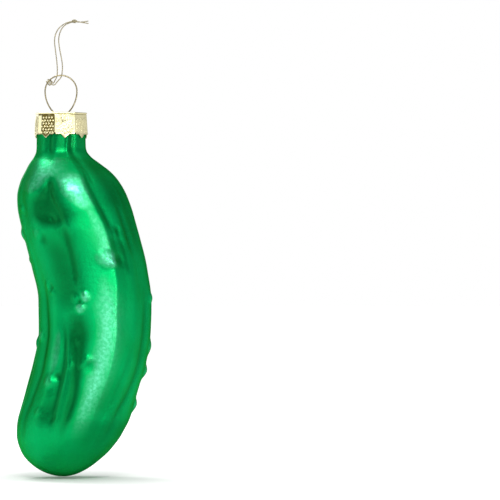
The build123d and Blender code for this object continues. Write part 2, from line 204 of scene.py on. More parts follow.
# Warts and dimples: how far down, angle, half width and half height, and rise in millimetres
BUMPS = (
    (0.165, -42, 2.4, 3.0, 0.30),
    (0.115, -30, 4.0, 3.6, 0.30),
    (0.249, -23.5, 1.7, 1.7, -0.35),
    (0.155, 2, 4.6, 5.0, 0.30),
    (0.220, -63, 1.6, 1.6, 0.40),
    (0.293, -46, 2.2, 2.4, 0.30),
    (0.308, -40, 2.0, 2.4, -0.30),
    (0.290, 35, 2.0, 2.4, 0.45),
    (0.284, 43, 1.6, 2.2, -0.40),
    (0.365, 20, 3.6, 3.4, 0.50),
    (0.378, 26, 1.6, 1.5, 0.30),
    (0.368, 36, 2.2, 2.8, -0.45),
    (0.440, -50, 1.4, 1.8, 0.35),
    (0.448, -45, 1.4, 1.4, -0.30),
    (0.462, -44, 1.5, 1.3, 0.30),
    (0.478, -17.5, 1.5, 1.8, 0.50),
    (0.473, -7, 1.7, 2.0, 0.45),
    (0.508, -12, 1.9, 1.8, 0.55),
    (0.488, -12.5, 1.2, 1.4, -0.40),
    (0.588, -64, 1.8, 2.2, 0.45),
    (0.716, -36, 2.6, 2.6, 0.55),
    (0.705, -30, 1.8, 1.8, -0.50),
    (0.655, -1, 1.6, 1.9, 0.40),
    (0.678, 5, 2.4, 2.4, -0.20),
    (0.672, -17, 1.1, 1.6, 0.25),
    (0.669, -7, 1.2, 1.6, 0.25),
    (0.600, -14, 1.2, 1.8, 0.25),
    (0.807, -40, 1.7, 1.9, 0.35),
    (0.812, -31, 4.6, 5.2, -0.30),
    (0.826, -20, 1.4, 2.0, -0.25),
    (0.478, 77, 1.9, 2.2, 0.50),
    (0.294, -88, 1.7, 2.4, 0.65),
    (0.370, -84, 1.5, 2.0, 0.55),
    (0.606, -86, 1.6, 2.6, 0.70),
    (0.622, 84, 2.2, 3.0, 0.60),
    (0.694, 86, 1.9, 2.6, 0.85),
    (0.792, 86, 1.8, 2.6, 0.80),
    (0.180, 118, 1.9, 2.0, 0.50),
    (0.262, 150, 2.1, 2.1, 0.55),
    (0.205, 186, 1.8, 1.9, 0.45),
    (0.330, 176, 2.0, 2.0, 0.60),
    (0.236, 228, 1.9, 2.0, 0.50),
    (0.398, 120, 1.9, 1.9, 0.55),
    (0.420, 214, 1.7, 1.8, -0.40),
    (0.438, 206, 1.8, 1.9, 0.55),
    (0.455, 168, 2.2, 2.2, 0.65),
    (0.350, 245, 1.8, 1.8, 0.45),
    (0.530, 138, 1.8, 1.9, 0.50),
    (0.545, 190, 1.9, 1.9, 0.55),
    (0.510, 236, 2.0, 2.0, 0.55),
    (0.628, 112, 1.7, 1.8, 0.45),
    (0.640, 160, 2.1, 2.1, 0.60),
    (0.618, 206, 1.8, 1.8, 0.45),
    (0.690, 232, 1.9, 2.0, 0.55),
    (0.735, 142, 1.9, 1.9, 0.50),
    (0.748, 186, 2.1, 2.1, 0.60),
    (0.802, 122, 1.8, 1.9, 0.45),
    (0.822, 164, 1.8, 1.8, 0.45),
    (0.815, 212, 1.9, 2.0, 0.50),
    (0.871, 190, 1.8, 1.8, 0.40),
)

# The slow waves of the blown surface: how many go round it, how far they lean on the way down,
# where they start and how strong each is
WAVES = ((3, 17, 0.0, 1.0), (5, -23, 1.3, 1.0), (2, 41, 2.1, 1.0), (9, 31, 0.4, 0.7))

# The rim bead's section, in millimetres: out from the panel and up from the crown's top
RIM_BEAD = (
    (0.0, -0.66), (-0.07, -0.60), (-0.07, -0.52), (0.04, -0.48), (0.12, -0.40), (0.15, -0.28),
    (0.13, -0.15), (0.05, -0.04), (-0.05, 0.0), (-0.16, -0.04), (-0.23, -0.12), (-0.25, -0.24),
    (-0.25, -0.62),
)

# The thread's two strands, in millimetres from the origin, each from its place at the wire eye to
# its tail; the hitch between them is worked out from the wire and the thread
NEAR_STRAND = (
    (-2.55, -0.445, -1.99),
    (-1.94, -0.38, -1.94),
    (-1.78, -0.05, -1.35),
    (-1.25, 0.52, -0.42),
    (-1.02, 0.62, 1.10),
    (-1.12, 0.55, 3.60),
    (-1.55, 0.25, 7.00),
    (-1.92, -0.02, 10.20),
    (-1.35, 0.00, 12.40),
    (-0.10, 0.05, 14.00),
    (1.70, -0.12, 15.05),
    (3.75, -0.21, 15.42),
    (5.70, -0.25, 15.05),
    (7.70, -0.35, 14.72),
)
FAR_STRAND = (
    (-1.97, -0.445, -2.87),
    (-0.90, 0.05, -1.35),
    (0.02, 0.52, -0.40),
    (0.33, 0.62, 1.15),
    (0.42, 0.55, 3.40),
    (-0.25, 0.62, 6.70),
    (-0.78, 0.70, 9.90),
    (-0.42, 0.45, 12.20),
    (0.55, 0.22, 13.90),
    (1.90, 0.25, 14.80),
    (3.75, 0.21, 15.30),
    (5.60, 0.30, 15.05),
    (7.60, 0.42, 15.43),
)
KNOT_AT = (3.75, 0.0, 15.36)

# The lamps: place and size in metres, and how bright they look
LAMPS = (
    ("front_window", (0.16, -0.50, -0.02), (0.26, 0.30), 1.0),
    ("upper_box", (0.035, -0.37, 0.22), (0.20, 0.16), 9.5),
    ("edge_strip", (0.29, -0.37, -0.13), (0.065, 0.30), 10.5),
    ("left_box", (-0.48, -0.10, 0.00), (0.22, 0.40), 0.65),
    ("back_box", (-0.22, 0.50, 0.10), (0.20, 0.40), 0.9),
    ("overhead", (-0.17, 0.24, 0.42), (0.18, 0.18), 10.5),
)

# What gloss sees of the room: levels by the turn from the front, in degrees, and by height
PANELS_AROUND = (
    (-180, 0.75), (-166, 0.50), (-146, 0.42), (-126, 0.80), (-104, 0.80), (-86, 0.76), (-70, 0.72),
    (-48, 0.58), (-38, 0.34), (-22, 0.34), (-12, 0.95), (6, 1.08), (42, 1.12), (54, 1.04),
    (66, 0.76), (88, 0.62), (112, 0.70), (138, 0.62), (148, 0.42), (164, 0.48), (180, 0.75),
)
PANELS_UP = ((-1.0, 0.35), (-0.25, 0.9), (0.0, 1.15), (0.2, 0.90), (0.45, 0.60), (0.7, 1.0),
             (0.88, 1.5), (1.0, 1.1))
# The level that everything but gloss sees
ROOM_LEVEL = 0.42


def length(name, description, default):
    """A length property in metres, its default given in millimetres."""
    return bpy.props.FloatProperty(name=name, description=description, default=default * MM,
                                   unit="LENGTH", precision=5)


def share(name, description, default):
    """A property from 0 to 1."""
    return bpy.props.FloatProperty(name=name, description=description, default=default,
                                   min=0.0, max=1.0, subtype="FACTOR")


def angle(name, description, default):
    """An angle property, its default given in degrees."""
    return bpy.props.FloatProperty(name=name, description=description,
                                   default=math.radians(default), subtype="ANGLE")


def pixel(name, description, default):
    """A property for a place in the picture."""
    return bpy.props.FloatProperty(name=name, description=description, default=default,
                                   subtype="PIXEL")


def colour(name, description, default):
    """A linear colour property."""
    return bpy.props.FloatVectorProperty(name=name, description=description, default=default,
                                         subtype="COLOR", size=3, min=0.0, max=1.0)


class GlassSettings(bpy.types.PropertyGroup):
    """Sizes and finish of the blown-glass pickle."""
    body_width: length("Body width", "Width of the pickle at its belly", 32.0)
    bow: length("Bow", "How far the middle stands to the side of the neck", 9.44)
    neck_radius: length("Neck radius", "Radius of the neck below the crown", 6.804)
    lip_radius: length("Lip radius", "Radius of the lip inside the crown", 6.394)
    lip_length: length("Lip length", "Length of the straight lip", 5.0)
    wall: length("Wall", "Thickness of the glass at the lip", 0.9)
    flatness: share("Flatness", "How much shallower than wide the body is", 0.07)
    unevenness: length("Unevenness", "Slow waves of the blown surface", 0.16)
    green: colour("Green", "Metallic green of the coat", (0.0, 0.41, 0.110))
    edge_green: colour("Edge green", "Green that the coat keeps where it is seen edge on",
                       (0.0, 0.50, 0.26))
    deep_green: colour("Deep green", "Green of the thicker coat in patches", (0.0, 0.34, 0.078))
    # Painted shade colour for the grooves, dimples and neck
    pooled_green: colour("Pooled green", "Dark green where the coat has pooled", (0.0, 0.17, 0.036))
    # Painted highlight colour for warts and the listed facets
    thin_green: colour("Thin green", "Paler green where the coat has run thin", (0.09, 0.65, 0.36))
    roughness: share("Roughness", "Satin finish of the coat", 0.39)


class CrownSettings(bpy.types.PropertyGroup):
    """Sizes and finish of the stamped crown."""
    edge_diameter: length("Edge diameter", "Across the corners at the lower edge", 15.4)
    draw: length("Draw", "How much less the top's radius is", 0.4)
    height: length("Height", "From the notched edge to the bead", 6.1)
    sheet: length("Sheet", "Thickness of the metal", 0.25)
    tooth_height: length("Tooth height", "Point below the edge", 1.05)
    tooth_width: length("Tooth width", "Base of a point", 2.3)
    notch_height: length("Notch height", "Nick at each corner", 0.6)
    notch_width: length("Notch width", "Base of a nick", 0.7)
    plate_sink: length("Plate sink", "How far the top plate lies below the bead", 0.5)
    relief: length("Relief", "Height of the stamped pattern", 0.15)
    bead_pitch: length("Bead pitch", "Distance between the stamped beads", 0.95)
    bead_radius: length("Bead radius", "Radius of a stamped bead", 0.30)
    gold: colour("Gold", "Pale gold of the raised metal", (0.95, 0.88, 0.53))
    # Painted shade colour for the low places of the stamping
    olive: colour("Olive", "Darker gold in the hollows of the stamping", (0.13, 0.10, 0.02))


class WireSettings(bpy.types.PropertyGroup):
    """Sizes and finish of the spring wire hanger."""
    wire: length("Wire", "Thickness of the wire", 0.4)
    eye_radius: length("Eye radius", "Radius of the eye to the wire's middle", 4.45)
    side_radius: length("Side radius", "Radius of the sides below the eye", 8.5)
    waist_radius: length("Waist radius", "Radius where the sides turn into the legs", 0.8)
    leg_gap: length("Leg gap", "Distance between the two legs", 4.0)
    leg_straight: length("Leg straight", "Straight length of a leg", 3.0)
    splay_radius: length("Splay radius", "Radius where a leg turns outwards", 1.2)
    splay_angle: angle("Splay angle", "How far a leg turns outwards", 30)
    foot_radius: length("Foot radius", "Radius where the foot turns in", 1.0)
    foot_angle: angle("Foot angle", "How far the foot turns in", 48)
    foot_length: length("Foot length", "Straight end of the foot", 1.8)
    metal: colour("Metal", "Dull gold of the wire", (0.36, 0.31, 0.18))


class ThreadSettings(bpy.types.PropertyGroup):
    """Sizes and finish of the hanging thread."""
    thickness: length("Thickness", "Diameter of the twisted thread", 0.35)
    gap: length("Gap", "Air between the thread and the wire it is hitched round", 0.07)
    hitch_angle: angle("Hitch angle", "Where on the eye the hitch sits", 142)
    hitch_reach: length("Hitch reach", "How far the hitch's bar lies inside the eye", 1.1)
    twist_pitch: length("Twist pitch", "Length of one full twist of the plies", 1.1)
    plies: bpy.props.IntProperty(name="Plies", description="Yarns twisted into the thread",
                                 default=3, min=2)
    gold: colour("Gold", "Metallic yarn", (0.52, 0.46, 0.28))
    grey: colour("Grey", "Core yarn between the metallic ones", (0.22, 0.19, 0.12))


class StageSettings(bpy.types.PropertyGroup):
    """Camera, lamps, floor and backdrop."""
    millimetres_per_pixel: bpy.props.FloatProperty(
        name="Millimetres per pixel", description="Scale of the picture at the object", default=0.28)
    picture: bpy.props.IntProperty(
        name="Picture", description="Side of the picture in pixels", default=500)
    axis_x: pixel("Axis", "Pixel column of the neck's axis", 61.0)
    eye_y: pixel("Eye", "Pixel row of the inside top of the eye", 76.1)
    distance: length("Distance", "From the camera to the object", 1000.0)
    floor_gap: length("Floor gap", "Air between the tip and the floor", 0.5)


SETTINGS = {
    "ornament_glass": GlassSettings,
    "ornament_crown": CrownSettings,
    "ornament_wire": WireSettings,
    "ornament_thread": ThreadSettings,
    "ornament_stage": StageSettings,
}


def ease(s, start, end, slope_in, slope_out):
    """A cubic from start to end with the given slopes at its ends."""
    return (start * (2 * s ** 3 - 3 * s ** 2 + 1) + end * (3 * s ** 2 - 2 * s ** 3)
            + slope_in * (s ** 3 - 2 * s ** 2 + s) + slope_out * (s ** 3 - s ** 2))


def smooth_columns(rows, places):
    """The columns of a table after its first, smooth and without overshoot between the rows."""
    table = np.array(rows, float)
    x, y = table[:, 0], table[:, 1:]
    step = np.diff(x)[:, None]
    rise = np.diff(y, axis=0) / step
    slope = np.zeros_like(y)
    slope[0], slope[-1] = rise[0], rise[-1]
    before, after = rise[:-1], rise[1:]
    same = before * after > 0
    near, far = 2 * step[1:] + step[:-1], step[1:] + 2 * step[:-1]
    with np.errstate(divide="ignore", invalid="ignore"):
        mean = (near + far) / (near / before + far / after)
    slope[1:-1] = np.where(same, mean, 0)
    places = np.asarray(places, float)
    i = np.clip(np.searchsorted(x, places, side="right") - 1, 0, len(x) - 2)
    width = (x[i + 1] - x[i])[:, None]
    s = (places[:, None] - x[i][:, None]) / width
    return ease(s, y[i], y[i + 1], slope[i] * width, slope[i + 1] * width)


def rising(distance, width):
    """A level that goes from 0 to 1 over a width."""
    return np.clip(distance / width, 0, 1)


def hump(distance, half_width):
    """The height of a rounded rib, 1 along its middle."""
    return np.clip(1 - (distance / half_width) ** 2, 0, 1)


def turn_from(middle, angles):
    """The shorter turn from a middle to each angle, in degrees."""
    return (angles - middle + 180) % 360 - 180


def level_ring(x, y, z):
    """Points of a ring that lies level."""
    return np.stack([x, y, np.full_like(x, z)], 1)


def pairs(loop):
    """Each item of a closed loop with the one after it."""
    return zip(loop, loop[1:] + loop[:1])


def grid_faces(rows, columns, closed=False):
    """Quads between the rings of a tube; a closed one also joins its last ring to its first."""
    faces = []
    for row in range(rows if closed else rows - 1):
        start, after = row * columns, (row + 1) % rows * columns
        for column in range(columns):
            beside = (column + 1) % columns
            faces.append((start + column, start + beside, after + beside, after + column))
    return faces


def close_end(vertices, faces, first, count, middle, turned):
    """Closes the ring of count vertices from first on with a fan round a new middle one."""
    vertices.append(middle)
    for i in range(count):
        fan = (len(vertices) - 1, first + (i + 1) % count, first + i)
        faces.append(fan[::-1] if turned else fan)


def put(name, data):
    """A new object at the origin."""
    thing = bpy.data.objects.new(name, data)
    bpy.context.scene.collection.objects.link(thing)
    return thing


def new_piece(name, vertices, faces, materials=(), smooth=True):
    """A mesh object at the origin from vertices in metres."""
    mesh = bpy.data.meshes.new(name)
    mesh.from_pydata([tuple(v) for v in vertices], [], faces)
    for material in materials:
        mesh.materials.append(material)
    mesh.polygons.foreach_set("use_smooth", [smooth] * len(mesh.polygons))
    mesh.update()
    return put(name, mesh)


def plain_mesh(thing):
    """A plain mesh of an object, with its modifiers or its curve worked out."""
    return bpy.data.meshes.new_from_object(
        thing.evaluated_get(bpy.context.evaluated_depsgraph_get()))


def store_levels(mesh, name, levels):
    """Keeps a level for each vertex, which the material reads."""
    mesh.attributes.new(name, "FLOAT", "POINT").data.foreach_set("value", levels)


def outward(piece):
    """Merges a closed mesh's doubles and turns its faces outwards."""
    work = bmesh.new()
    work.from_mesh(piece.data)
    bmesh.ops.remove_doubles(work, verts=work.verts, dist=MERGE_WITHIN * MM)
    bmesh.ops.recalc_face_normals(work, faces=work.faces)
    work.to_mesh(piece.data)
    work.free()


def finish_piece(piece, body, node=None):
    """Hangs a finished piece on its body and stands it for its node, which it hides."""
    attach(piece, body)
    if node:
        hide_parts(node)


class Tree:
    """A node tree with short ways to add and join its nodes."""

    def __init__(self, tree):
        self.nodes, self.links = tree.nodes, tree.links

    def add(self, kind, inputs=None, **options):
        """A node with its options and inputs set; an input may be a value or an output."""
        node = self.nodes.new(kind)
        for option, value in options.items():
            setattr(node, option, value)
        for socket, value in (inputs or {}).items():
            if isinstance(value, bpy.types.NodeSocket):
                self.links.new(value, node.inputs[socket])
            else:
                node.inputs[socket].default_value = value
        return node

    def reckon(self, operation, *values):
        """The result of a sum on values or outputs."""
        return self.add("ShaderNodeMath", dict(enumerate(values)), operation=operation).outputs[0]

    def spread(self, value, low, high, new_low=0.0, new_high=1.0):
        """A value's range stretched to a new one."""
        node = self.add("ShaderNodeMapRange", {"Value": value, "From Min": low, "From Max": high,
                                               "To Min": new_low, "To Max": new_high})
        return node.outputs["Result"]

    def mix(self, factor, first, second):
        """Two colours mixed."""
        first, second = (value if isinstance(value, bpy.types.NodeSocket) else (*value, 1.0)
                         for value in (first, second))
        return self.add("ShaderNodeMix", {0: factor, 6: first, 7: second},
                        data_type="RGBA").outputs[2]

    def between(self, factor, first, second):
        """Two levels mixed."""
        return self.add("ShaderNodeMix", {0: factor, 2: first, 3: second}).outputs[0]

    def ramp(self, value, low, high, stops):
        """A value turned into a level by stops, which are stored at half strength."""
        ramp = self.add("ShaderNodeValToRGB", {"Fac": self.spread(value, low, high)})
        ramp.color_ramp.interpolation = "EASE"
        elements = ramp.color_ramp.elements
        while len(elements) > 1:
            elements.remove(elements[-1])
        for i, (at, level) in enumerate(stops):
            along = (at - low) / (high - low)
            stop = elements.new(along) if i else elements[0]
            stop.position = along
            stop.color = (*grey(level / 2), 1)
        return self.reckon("MULTIPLY", ramp.outputs["Color"], 2.0)


class Shader(Tree):
    """A node material with its surface shader and a few short ways to feed it."""

    def __init__(self, name, **values):
        self.material = bpy.data.materials.new(name)
        self.material.use_nodes = True
        super().__init__(self.material.node_tree)
        self.surface = self.nodes["Principled BSDF"]
        self.place = self.add("ShaderNodeTexCoord").outputs["Object"]
        for socket, value in values.items():
            self.surface.inputs[socket.replace("_", " ")].default_value = value

    def noise(self, scale, detail=2.0, roughness=0.5):
        """Noise on Object coordinates, scale in features per metre."""
        node = self.add("ShaderNodeTexNoise", {"Vector": self.place, "Scale": scale,
                                               "Detail": detail, "Roughness": roughness})
        return node.outputs["Fac"]

    def stored(self, name):
        """A level that the mesh keeps for each vertex."""
        return self.add("ShaderNodeAttribute", attribute_name=name).outputs["Fac"]

    def bump(self, height, depth, strength=1.0, normal=None):
        """A bump whose full height is depth metres."""
        inputs = {"Height": height, "Strength": strength, "Distance": depth}
        if normal is not None:
            inputs["Normal"] = normal
        return self.add("ShaderNodeBump", inputs).outputs["Normal"]

    def feed(self, socket, output):
        """Links an output to the surface."""
        self.links.new(output, self.surface.inputs[socket])


def grey(level):
    """A colour without hue."""
    return (level, level, level)


def satin_green(look):
    """The satin metallic coat, with painted shade in its hollows and neck, painted highlights on warts
    and along the listed facets, and a grain that sparkles.
    """
    shader = Shader("satin_green_coat", Metallic=0.98, Coat_Roughness=0.20)
    shader.surface.inputs["Specular Tint"].default_value = (*look.edge_green, 1)
    # A level of painted shade above 0 and of painted highlight below 0
    depth = shader.stored("coat_depth")
    mottle = shader.spread(shader.noise(1100), 0.40, 0.62, 0.50, 1.0)
    # Painted highlight, mottled, where the level is below 0; the coat is stronger there too
    thin = shader.reckon("MULTIPLY", shader.spread(depth, 0.0, -1.0), mottle)
    patches = shader.spread(shader.noise(95, 3.0), 0.35, 0.70)
    even = shader.mix(patches, look.green, look.deep_green)
    # Painted shade: darker green as the level rises above 0
    pooled = shader.mix(shader.spread(depth, 0.05, 1.0), even, look.pooled_green)
    shader.feed("Base Color", shader.mix(thin, pooled, look.thin_green))
    facing = shader.add("ShaderNodeLayerWeight", {"Blend": 0.5}).outputs["Facing"]
    gloss, thin_gloss = shader.spread(facing, 0.35, 0.90, 0.05, 0.005), 0.95
    shader.feed("Coat Weight", shader.reckon("MULTIPLY_ADD", thin, thin_gloss, gloss))
    grain, swing = shader.noise(2600, 3.0, 0.6), 0.08
    shader.feed("Roughness", shader.spread(grain, 0.3, 0.7, look.roughness - swing,
                                           look.roughness + swing))
    waves = shader.bump(shader.noise(260), 0.06 * MM, 0.5)
    patchy = shader.spread(shader.noise(75, 1.0), 0.42, 0.62, 0.15, 0.9)
    orange_peel = shader.bump(shader.noise(900), 0.12 * MM, patchy, waves)
    shader.feed("Normal", shader.bump(grain, 0.05 * MM, 0.6, orange_peel))
    return shader.material


def silvered():
    """The bright silvering inside the glass."""
    shader = Shader("silvered_inside", Metallic=1.0)
    streaks = shader.noise(180, 3.0)
    shader.feed("Base Color", shader.mix(streaks, (0.80, 0.82, 0.80), (0.55, 0.60, 0.56)))
    shader.feed("Roughness", shader.spread(streaks, 0.3, 0.7, 0.12, 0.30))
    return shader.material


def pale_gold(look):
    """Anodised pale gold with random stains, painted shade in the hollows of the stamping, under the rim
    bead and inside, and finely brushed.
    """
    shader = Shader("pale_gold_sheet", Metallic=1.0)
    stain, stain_share = shader.noise(900, 3.0), 0.6
    # Random stains plus the relief level, which the colour takes as painted shade where low
    worn = shader.reckon("MULTIPLY_ADD", stain, stain_share, shader.stored("relief"))
    shader.feed("Base Color", shader.mix(shader.spread(worn, 0.35, 0.80), look.olive, look.gold))
    shader.feed("Roughness", shader.spread(stain, 0.3, 0.7, 0.16, 0.30))
    shader.feed("Normal", shader.bump(shader.noise(2600), 0.02 * MM, 0.4))
    return shader.material


def gilt_wire(look):
    """Drawn wire with fine draw marks and small dull patches."""
    shader = Shader("gilt_wire", Metallic=1.0)
    patches, dullness = shader.noise(700), 0.62
    dull = tuple(dullness * part for part in look.metal)
    shader.feed("Base Color", shader.mix(shader.spread(patches, 0.35, 0.7), look.metal, dull))
    shader.feed("Roughness", shader.spread(patches, 0.3, 0.7, 0.20, 0.38))
    shader.feed("Normal", shader.bump(shader.noise(4000, 1.0), 0.01 * MM, 0.4))
    return shader.material


def metallic_yarn(look):
    """Metallic yarn over a grey core, with a fine fibre grain."""
    shader = Shader("metallic_yarn", Metallic=0.45, Sheen_Weight=0.2, Sheen_Roughness=0.4)
    fibres = shader.noise(5200, 2.0, 0.6)
    shader.feed("Base Color", shader.mix(shader.spread(fibres, 0.35, 0.65), look.grey, look.gold))
    shader.feed("Roughness", shader.spread(fibres, 0.3, 0.7, 0.35, 0.6))
    shader.feed("Normal", shader.bump(fibres, 0.03 * MM, 0.6))
    return shader.material


def pale_floor(shadow_at):
    """Matt white that fades out away from the shadow, with some painted shade round the tip, and a
    painted grey shade and a faint painted glow that only gloss sees.
    """
    shader = Shader("pale_floor", Roughness=0.9, Specular_IOR_Level=0.0)
    rays = shader.add("ShaderNodeLightPath").outputs
    pale = shader.mix(shader.spread(shader.noise(30), 0.3, 0.7), grey(0.86), grey(0.84))
    across = shader.add("ShaderNodeSeparateXYZ", {"Vector": shader.place}).outputs["X"]
    # Painted shade that only gloss sees: a grey stretch of floor right of the tip
    band = shader.mix(shader.spread(across, 0.005, 0.04), grey(1.0), grey(0.52))
    band = shader.mix(shader.spread(across, 0.035, 0.08), band, grey(0.98))
    shader.feed("Base Color", shader.mix(rays["Is Glossy Ray"], pale, band))
    shader.feed("Emission Color", shader.mix(rays["Is Glossy Ray"], grey(1.0), band))
    away = shader.add("ShaderNodeVectorMath", {0: shader.place, 1: shadow_at},
                      operation="DISTANCE").outputs["Value"]
    # To the camera the floor glows white away from the tip; round the tip the glow is weaker, so the
    # real shadow shows there with some painted shade
    to_camera = shader.reckon("MULTIPLY", rays["Is Camera Ray"],
                              shader.spread(away, 0.008, 0.060, 0.09, 0.75))
    # Painted light that only gloss sees: a faint glow of the floor away from the tip
    to_gloss = shader.spread(away, 0.012, 0.05, 0.0, 0.20)
    shader.feed("Emission Strength", shader.reckon("MULTIPLY_ADD", rays["Is Glossy Ray"],
                                                   to_gloss, to_camera))
    return shader.material


def ridge_heights(downs, angles):
    """Height of the ridges in millimetres at every place down and every angle round the glass."""
    places = [smooth_columns(line, downs) for sharp, line in RIDGE_LINES]
    creases = np.array([sharp for sharp, line in RIDGE_LINES])
    creases = np.append(creases, creases[0])
    heights = np.zeros((len(downs), len(angles)))
    for row in range(len(downs)):
        turn = np.array([place[row, 0] for place in places])
        lift = np.array([place[row, 1] for place in places])
        turn = np.append(turn, turn[0] + 360)
        lift = np.append(lift, lift[0])
        at = (angles - turn[0]) % 360 + turn[0]
        i = np.clip(np.searchsorted(turn, at, side="right") - 1, 0, len(turn) - 2)
        s = (at - turn[i]) / (turn[i + 1] - turn[i])
        rise = lift[i + 1] - lift[i]
        heights[row] = ease(s, lift[i], lift[i + 1], creases[i] * rise, creases[i + 1] * rise)
    return heights


def bump_heights(downs, angles, across, body_length):
    """Height of the warts and dimples in millimetres over the same grid."""
    heights = np.zeros((len(downs), len(angles)))
    for down, turn, half_width, half_height, rise in BUMPS:
        side = np.radians(turn_from(turn, angles[None, :])) * across[:, None] / half_width
        along = (downs[:, None] - down) * body_length / half_height
        near = np.clip(1 - side ** 2 - along ** 2, 0, 1)
        heights += rise * near ** 2
    return heights


def traced(traces, downs, angles, across):
    """The strongest of some soft traces over the same grid; each fades at its ends."""
    levels = np.zeros((len(downs), len(angles)))
    for level, path in traces:
        line, half_width = smooth_columns(path, downs).T
        first, last = path[0][0], path[-1][0]
        fade = (last - first) * TRACE_FADE
        start = rising(downs - first, fade) if first > 0 else np.ones_like(downs)
        strength = start * rising(last - downs, fade)
        strength = strength ** 2 * (3 - 2 * strength)
        side = np.radians(turn_from(line[:, None], angles[None, :])) * across[:, None]
        side = side / np.maximum(half_width, TRACE_LEAST)[:, None]
        levels = np.maximum(levels, level * strength[:, None] / (1 + side ** 2) ** 2)
    return levels


def slow_waves(downs, angles, height):
    """The blown surface's slow unevenness: a few crossing waves of unlike lengths."""
    turn, down = np.radians(angles)[None, :], downs[:, None]
    waves = sum(strength * np.sin(count * turn + lean * down + start)
                for count, lean, start, strength in WAVES)
    return height * waves / sum(strength for count, lean, start, strength in WAVES)


class ORNAMENT_OT_glass(bpy.types.Operator):
    """Build the blown-glass pickle as one closed shell with its warts, ridges, lip and hollow"""
    bl_idname = "ornament.glass"
    bl_label = "Glass Pickle"

    # Columns and rings of the mesh; the tip is this share of the body, its last ring lies this
    # share of that before the end, and the inside's rings crowd towards the tip by this power
    COLUMNS = 256
    ROWS_BODY = 236
    ROWS_TIP = 60
    ROWS_INSIDE = 110
    TIP_SHARE = 0.12
    TIP_END = 0.02
    INSIDE_CROWDING = 1.6
    # How far down the body has its full flatness, and how far down the bore is straight
    FLAT_FROM = 0.141
    BORE_TO = 0.053
    # The step under the lip and the inside's least radius, in millimetres, and the lip's facets
    LIP_STEP = 0.12
    LEAST_RADIUS = 0.15
    LIP_FACETS = 8
    # The depth in millimetres of a groove or dimple that gets the full painted shade, how much
    # painted highlight a wart gets per millimetre, and how the painted shade fades down the neck
    FULL_POOL = 0.5
    WART_WEAR = 0.45
    NECK_POOL = ((0.0, 0.45), (0.045, 0.35), (0.075, 0.0))

    def execute(self, context):
        """Builds the shell from its tip over the lip to the inside of its tip."""
        look = context.scene.ornament_glass
        rings = self.outside(look) + self.lip(look)
        outer_rings = len(rings)
        rings += self.inside(look)
        columns, last = self.COLUMNS, (len(rings) - 1) * self.COLUMNS
        vertices = [Vector(point) * MM for ring in rings for point in ring]
        faces = grid_faces(len(rings), columns)
        for first, turned in ((0, False), (last, True)):
            middle = sum(vertices[first:first + columns], Vector()) / columns
            close_end(vertices, faces, first, columns, middle, turned)
        piece = new_piece("glass_pickle_shell", vertices, faces, (satin_green(look), silvered()))
        # Painted shade and painted highlight levels for the outside's vertices; the lip and the inside
        # get none
        coat = self.coat_depths(look)
        depths = np.zeros(len(vertices), np.float32)
        depths[:coat.size] = coat.ravel()
        store_levels(piece.data, "coat_depth", depths)
        outward(piece)
        polygons = piece.data.polygons
        for face in polygons[(outer_rings - 1) * columns:last] + polygons[-columns:]:
            face.material_index = 1
        finish_piece(piece, "glass", "glass_pickle")
        return {"FINISHED"}

    def lip_end(self, look):
        """The level of the lip's lower end in millimetres."""
        return RIM_Z - look.lip_length / MM

    def angles(self):
        """The angles of the columns from the front, in degrees."""
        return np.arange(self.COLUMNS) * 360 / self.COLUMNS

    def base(self, look, downs):
        """Axis, half width, depth share and ridge strength down the body."""
        bow, _, _, strength = smooth_columns(STATIONS, downs).T
        squares = [(down, (neck * look.neck_radius / MM + body * look.body_width / MM / 2) ** 2)
                   for down, _, neck, body, _ in STATIONS]
        across = np.sqrt(np.clip(smooth_columns(squares, downs)[:, 0], 0, None))
        deep = 1 - look.flatness * rising(downs, self.FLAT_FROM)
        return bow * look.bow / MM, across, deep, strength

    def lift(self, look, downs, across, strength, body_length):
        """How far the surface stands out of the plain body, over the grid, in millimetres."""
        angles = self.angles()
        lift = ridge_heights(downs, angles) * strength[:, None]
        lift += bump_heights(downs, angles, across, body_length)
        lift -= traced(GROOVES, downs, angles, across)
        return lift + slow_waves(downs, angles, look.unevenness / MM) * strength[:, None]

    def outside_downs(self):
        """How far down the outside's rings lie, closer together at the tip."""
        body = np.linspace(0, 1 - self.TIP_SHARE, self.ROWS_BODY, endpoint=False)
        tip = 1 - self.TIP_SHARE * np.linspace(1, self.TIP_END, self.ROWS_TIP) ** 2
        return np.concatenate([body, tip])

    def coat_depths(self, look):
        """Painted shade (up to 1) and painted highlight (down to -1), ring by ring as outside."""
        downs, angles = self.outside_downs(), self.angles()
        across = self.base(look, downs)[1]
        bumps = bump_heights(downs, angles, across, self.lip_end(look) - TIP_Z)
        grooves = traced(GROOVES, downs, angles, across)
        thin = traced(THIN_COAT, downs, angles, across)
        neck = np.interp(downs, *zip(*self.NECK_POOL))[:, None]
        warts, dimples = np.clip(bumps, 0, None), np.clip(-bumps, 0, None)
        # Painted shade in the neck, the grooves and the dimples, less the painted highlights
        pooled = neck + grooves / self.FULL_POOL + dimples / self.FULL_POOL
        return np.clip(pooled - warts * self.WART_WEAR - thin, -1, 1)[::-1]

    def outside(self, look):
        """Rings of the outside, from the tip up to the lip."""
        lip_end = self.lip_end(look)
        body_length = lip_end - TIP_Z
        downs = self.outside_downs()
        shift, across, deep, strength = self.base(look, downs)
        lift = self.lift(look, downs, across, strength, body_length)
        turn = np.radians(self.angles())
        rings = []
        for row, down in enumerate(downs):
            rings.append(level_ring(shift[row] + (across[row] + lift[row]) * np.sin(turn),
                                    -(across[row] * deep[row] + lift[row]) * np.cos(turn),
                                    lip_end - down * body_length))
        return rings[::-1]

